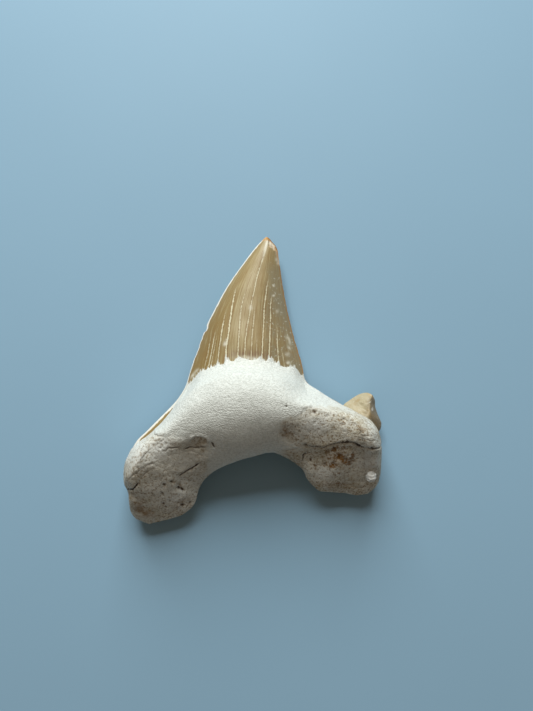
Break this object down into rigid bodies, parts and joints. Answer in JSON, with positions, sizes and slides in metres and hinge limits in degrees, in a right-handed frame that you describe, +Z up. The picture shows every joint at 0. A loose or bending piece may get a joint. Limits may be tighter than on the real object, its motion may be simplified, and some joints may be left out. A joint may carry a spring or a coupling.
{
  "type": "fossil shark tooth",
  "caption": "Fossil shark tooth with a pointed enamel crown, a swollen forked root and a small side cusp, lying flat to be shown on a shelf or table.",
  "frame": {"origin": "on the surface that the tooth lies on, under the middle of its box", "axes": "+X across the root to the lobe that has the side cusp, +Y from the root towards the crown's point, +Z up, away from the flat outer face that it lies on"},
  "size_m": [0.055, 0.063, 0.0176],
  "materials": {
    "bone": "matt, chalky and slightly porous",
    "enamel": "satin, with fine long cracks"
  },
  "bodies": {
    "root": {"tooth": "bone"}
  },
  "joints": []
}
